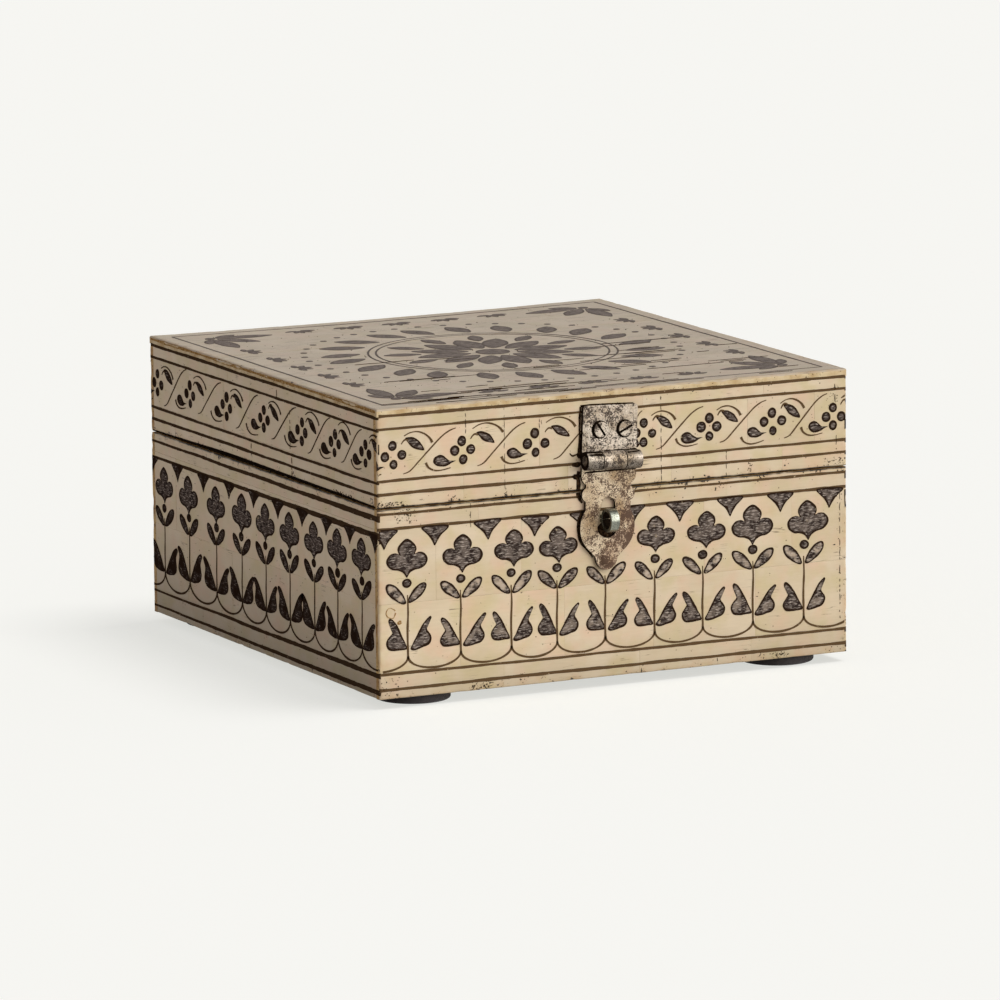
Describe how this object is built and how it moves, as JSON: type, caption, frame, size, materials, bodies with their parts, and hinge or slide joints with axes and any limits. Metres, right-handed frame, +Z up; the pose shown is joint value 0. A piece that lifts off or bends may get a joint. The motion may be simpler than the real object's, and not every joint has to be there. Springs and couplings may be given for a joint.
{
  "type": "storage box",
  "caption": "Square keepsake box: wooden case and hinged lid clad in engraved bone plates, closed by an iron hasp over an eye staple, on felt feet.",
  "frame": {"origin": "middle of the outline seen from above, level with the undersides of the feet", "axes": "+Z up, the front with the hasp faces -Y, +X to the right seen from the front"},
  "size_m": [0.16, 0.1758, 0.0917],
  "materials": {
    "bone": "satin",
    "wood": "matte",
    "hasp_iron": "satin",
    "hinge_iron": "satin",
    "felt": "matte"
  },
  "bodies": {
    "base": {"base_front_board": "wood", "base_back_board": "wood", "base_left_board": "wood", "base_right_board": "wood", "base_floor_board": "wood", "base_front_bone": "bone", "base_back_bone": "bone", "base_left_bone": "bone", "base_right_bone": "bone", "foot_front_left": "felt", "foot_front_right": "felt", "foot_back_left": "felt", "foot_back_right": "felt", "hasp_staple": "hasp_iron", "hinge_left_base_leaf": "hinge_iron", "hinge_right_base_leaf": "hinge_iron", "hinge_left_pin": "hinge_iron", "hinge_right_pin": "hinge_iron", "base_hinge_screws": "hinge_iron"},
    "lid": {"lid_front_rail": "wood", "lid_back_rail": "wood", "lid_left_rail": "wood", "lid_right_rail": "wood", "lid_top_board": "wood", "lid_front_bone": "bone", "lid_back_bone": "bone", "lid_left_bone": "bone", "lid_right_bone": "bone", "lid_top_bone": "bone", "hinge_left_lid_leaf": "hinge_iron", "hinge_right_lid_leaf": "hinge_iron", "lid_hinge_screws": "hinge_iron", "hasp_leaf": "hasp_iron", "hasp_screws": "hasp_iron", "hasp_pin": "hasp_iron"},
    "hasp": {"hasp_strap": "hasp_iron"}
  },
  "joints": [
    {"name": "lid_hinge", "type": "hinge", "parent": "base", "child": "lid", "pos_m": [0, 0.0857, 0.0612], "axis": [-1, 0, 0], "range_deg": [0, 105]},
    {"name": "hasp_swing", "type": "hinge", "parent": "lid", "child": "hasp", "pos_m": [-0.0026, -0.0832, 0.0704], "axis": [-0.9993, 0, 0.0384], "range_deg": [0, 175]}
  ]
}
